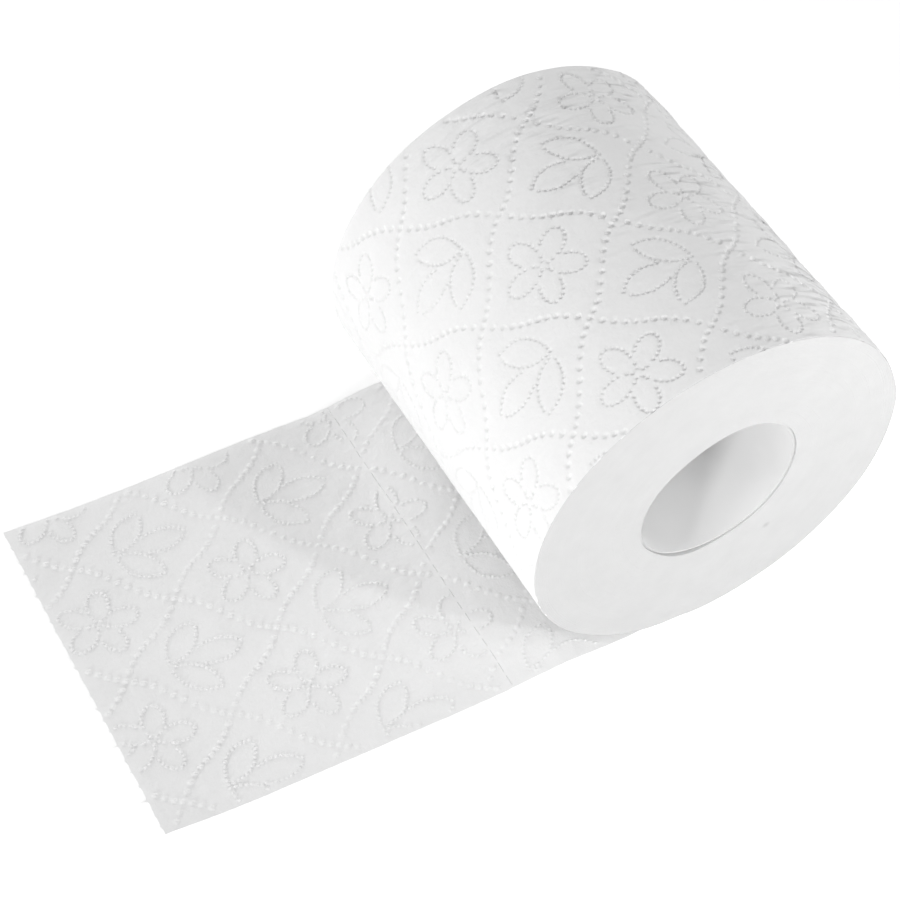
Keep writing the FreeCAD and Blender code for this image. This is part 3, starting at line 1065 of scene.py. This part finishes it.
def shaded_cut_tissue():
    """The cut ends of the turns: fine rings round the bore, a fibrous grain, and painted shade in
    their grey.
    """
    shader = Shader("tissue_cut_shaded")
    parts = shader.add("ShaderNodeSeparateXYZ", {"Vector": shader.place}).outputs
    square = shader.math("ADD", shader.math("MULTIPLY", parts["X"], parts["X"]),
                         shader.math("MULTIPLY", parts["Z"], parts["Z"]))
    radius = shader.math("SQRT", square)
    sway = shader.math("MULTIPLY", shader.noise(scale=60.0, detail=2.0), RING_SWAY)
    turns = shader.math("MULTIPLY", shader.math("ADD", radius, sway), RING_SCALE)
    rings = shader.add("ShaderNodeTexNoise", {"W": turns, "Scale": 1.0, "Detail": 2.0},
                       noise_dimensions="1D").outputs["Fac"]
    grain = shader.noise(scale=1500.0, roughness=0.7)
    clouds = shader.noise(scale=140.0)
    colour = shader.ramp(shader.blend(clouds, 0.75, rings), CUT_SHADED_DARK, CUT_SHADED_LIGHT)
    gap = shader.add("ShaderNodeVectorMath", {0: shader.place, 1: SPECK_PLACE},
                     operation="DISTANCE").outputs["Value"]
    speck = shader.map_range(gap, 0.2 * SPECK_RADIUS, SPECK_RADIUS, 0.55, 0.0)
    marked = shader.add("ShaderNodeMix", data_type="RGBA")
    shader.give(marked.inputs["Factor"], speck)
    shader.give(marked.inputs["A"], colour)
    shader.give(marked.inputs["B"], (*SPECK_GREY, 1.0))
    normal = shader.bump(rings, CUT_BUMP, 0.7)
    normal = shader.bump(grain, CUT_BUMP, 0.8, normal)
    return shader.finish(
        Base_Color=marked.outputs["Result"], Roughness=shader.raised(0.88, 0.1, clouds),
        Normal=normal, Specular_IOR_Level=0.12,
    )


def board(name, dark, light):
    """Smooth white paperboard with a fine felt grain along the tube, in greys darkened as painted
    shade.
    """
    shader = Shader(name)
    clouds = shader.noise(scale=70.0)
    felt = shader.noise(stretch=FELT_SCALES)
    normal = shader.bump(clouds, BOARD_BUMP, 0.5)
    normal = shader.bump(felt, FELT_BUMP, 0.5, normal)
    return shader.finish(
        Base_Color=shader.ramp(clouds, dark, light), Roughness=shader.raised(0.55, 0.15, felt),
        Normal=normal, Specular_IOR_Level=0.3,
    )


def studio_floor():
    """A white floor with a weak glow, which keeps it as light as in the photograph."""
    shader = Shader("studio_floor")
    return shader.finish(
        Base_Color=(*FLOOR_GREY, 1.0), Roughness=0.9, Specular_IOR_Level=0.0,
        Emission_Color=(1.0, 1.0, 1.0, 1.0), Emission_Strength=FLOOR_GLOW,
    )


# The studio


def add_floor():
    mesh = bpy.data.meshes.new("studio_floor")
    square = ((-1, -1), (1, -1), (1, 1), (-1, 1))
    corners = [(x * FLOOR_HALF_SIZE, y * FLOOR_HALF_SIZE, FLOOR) for x, y in square]
    mesh.from_pydata(corners, [], [(0, 1, 2, 3)])
    mesh.materials.append(studio_floor())
    floor = bpy.data.objects.new("studio_floor", mesh)
    bpy.context.scene.collection.objects.link(floor)


def add_area_light(name, azimuth, elevation, distance, size, power):
    """A square soft light that looks at the roll from a direction."""
    data = bpy.data.lights.new(name, "AREA")
    data.size = size
    data.energy = power
    light = bpy.data.objects.new(name, data)
    azimuth, elevation = math.radians(azimuth), math.radians(elevation)
    level = math.cos(elevation)
    direction = Vector((level * math.cos(azimuth), level * math.sin(azimuth), math.sin(elevation)))
    light.location = direction * distance
    light.rotation_euler = direction.to_track_quat("Z", "Y").to_euler()
    bpy.context.scene.collection.objects.link(light)


def add_studio_light():
    scene = bpy.context.scene
    world = bpy.data.worlds.new("studio")
    world.use_nodes = True
    background = world.node_tree.nodes["Background"]
    background.inputs["Color"].default_value = (1.0, 1.0, 1.0, 1.0)
    background.inputs["Strength"].default_value = WORLD_STRENGTH
    scene.world = world
    scene.view_settings.view_transform = "Standard"
    for name, light in LIGHTS.items():
        add_area_light(name, **light)


def add_camera():
    """The photograph's view: its place, direction, roll about that direction and lens."""
    cosine = math.cos(CAMERA_ELEVATION)
    forward = Vector((
        math.sin(CAMERA_AZIMUTH) * cosine,
        math.cos(CAMERA_AZIMUTH) * cosine,
        -math.sin(CAMERA_ELEVATION),
    ))
    level = Vector((math.cos(CAMERA_AZIMUTH), -math.sin(CAMERA_AZIMUTH), 0.0))
    upright = level.cross(forward)
    up = math.cos(CAMERA_ROLL) * upright - math.sin(CAMERA_ROLL) * level
    right = math.cos(CAMERA_ROLL) * level + math.sin(CAMERA_ROLL) * upright
    data = bpy.data.cameras.new("camera")
    data.sensor_width = SENSOR_WIDTH
    data.lens = CAMERA_LENS
    data.clip_start = CAMERA_NEAR
    camera = bpy.data.objects.new("camera", data)
    turn = Matrix((right, up, -forward)).transposed().to_4x4()
    camera.matrix_world = Matrix.Translation(CAMERA_PLACE) @ turn
    bpy.context.scene.collection.objects.link(camera)
    bpy.context.scene.camera = camera


def dress_web():
    """The wound paper and the drawn-out sheet. Both draw from one row of random numbers."""
    draw = random.Random(SEED)
    points, webs, faces, slots, soft_count = wound_paper(draw)
    papers = [tissue("tissue", ROLL_CREASE_BUMP), shaded_cut_tissue()]
    roll = make_object("wound_paper", points, faces, papers, slots, webs, soft_count)
    points, webs, faces, soft_count = drawn_sheet(draw)
    papers = [tissue("tissue_sheet", SHEET_CREASE_BUMP)]
    sheet = make_object("drawn_sheet", points, faces, papers, webs=webs, soft_count=soft_count)
    for piece in (roll, sheet):
        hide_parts("paper_web")
        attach(piece, "root")


def dress_tube():
    points, faces = board_tube()
    boards = [
        board("tube_board", BOARD_SHADED_DARK, BOARD_SHADED_LIGHT),
        board("tube_end_shaded", BOARD_END_SHADED_DARK, BOARD_END_SHADED_LIGHT),
    ]
    tube = make_object("tube", points, faces, boards)
    for face in tube.data.polygons:
        # End faces are shaded flat and take the darker end grey, which is painted shade.
        at_end = abs(face.normal.y) > END_NORMAL
        face.use_smooth = not at_end
        face.material_index = int(at_end)
    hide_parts("core_tube")
    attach(tube, "root")


dress_web()
dress_tube()
add_floor()
add_studio_light()
add_camera()
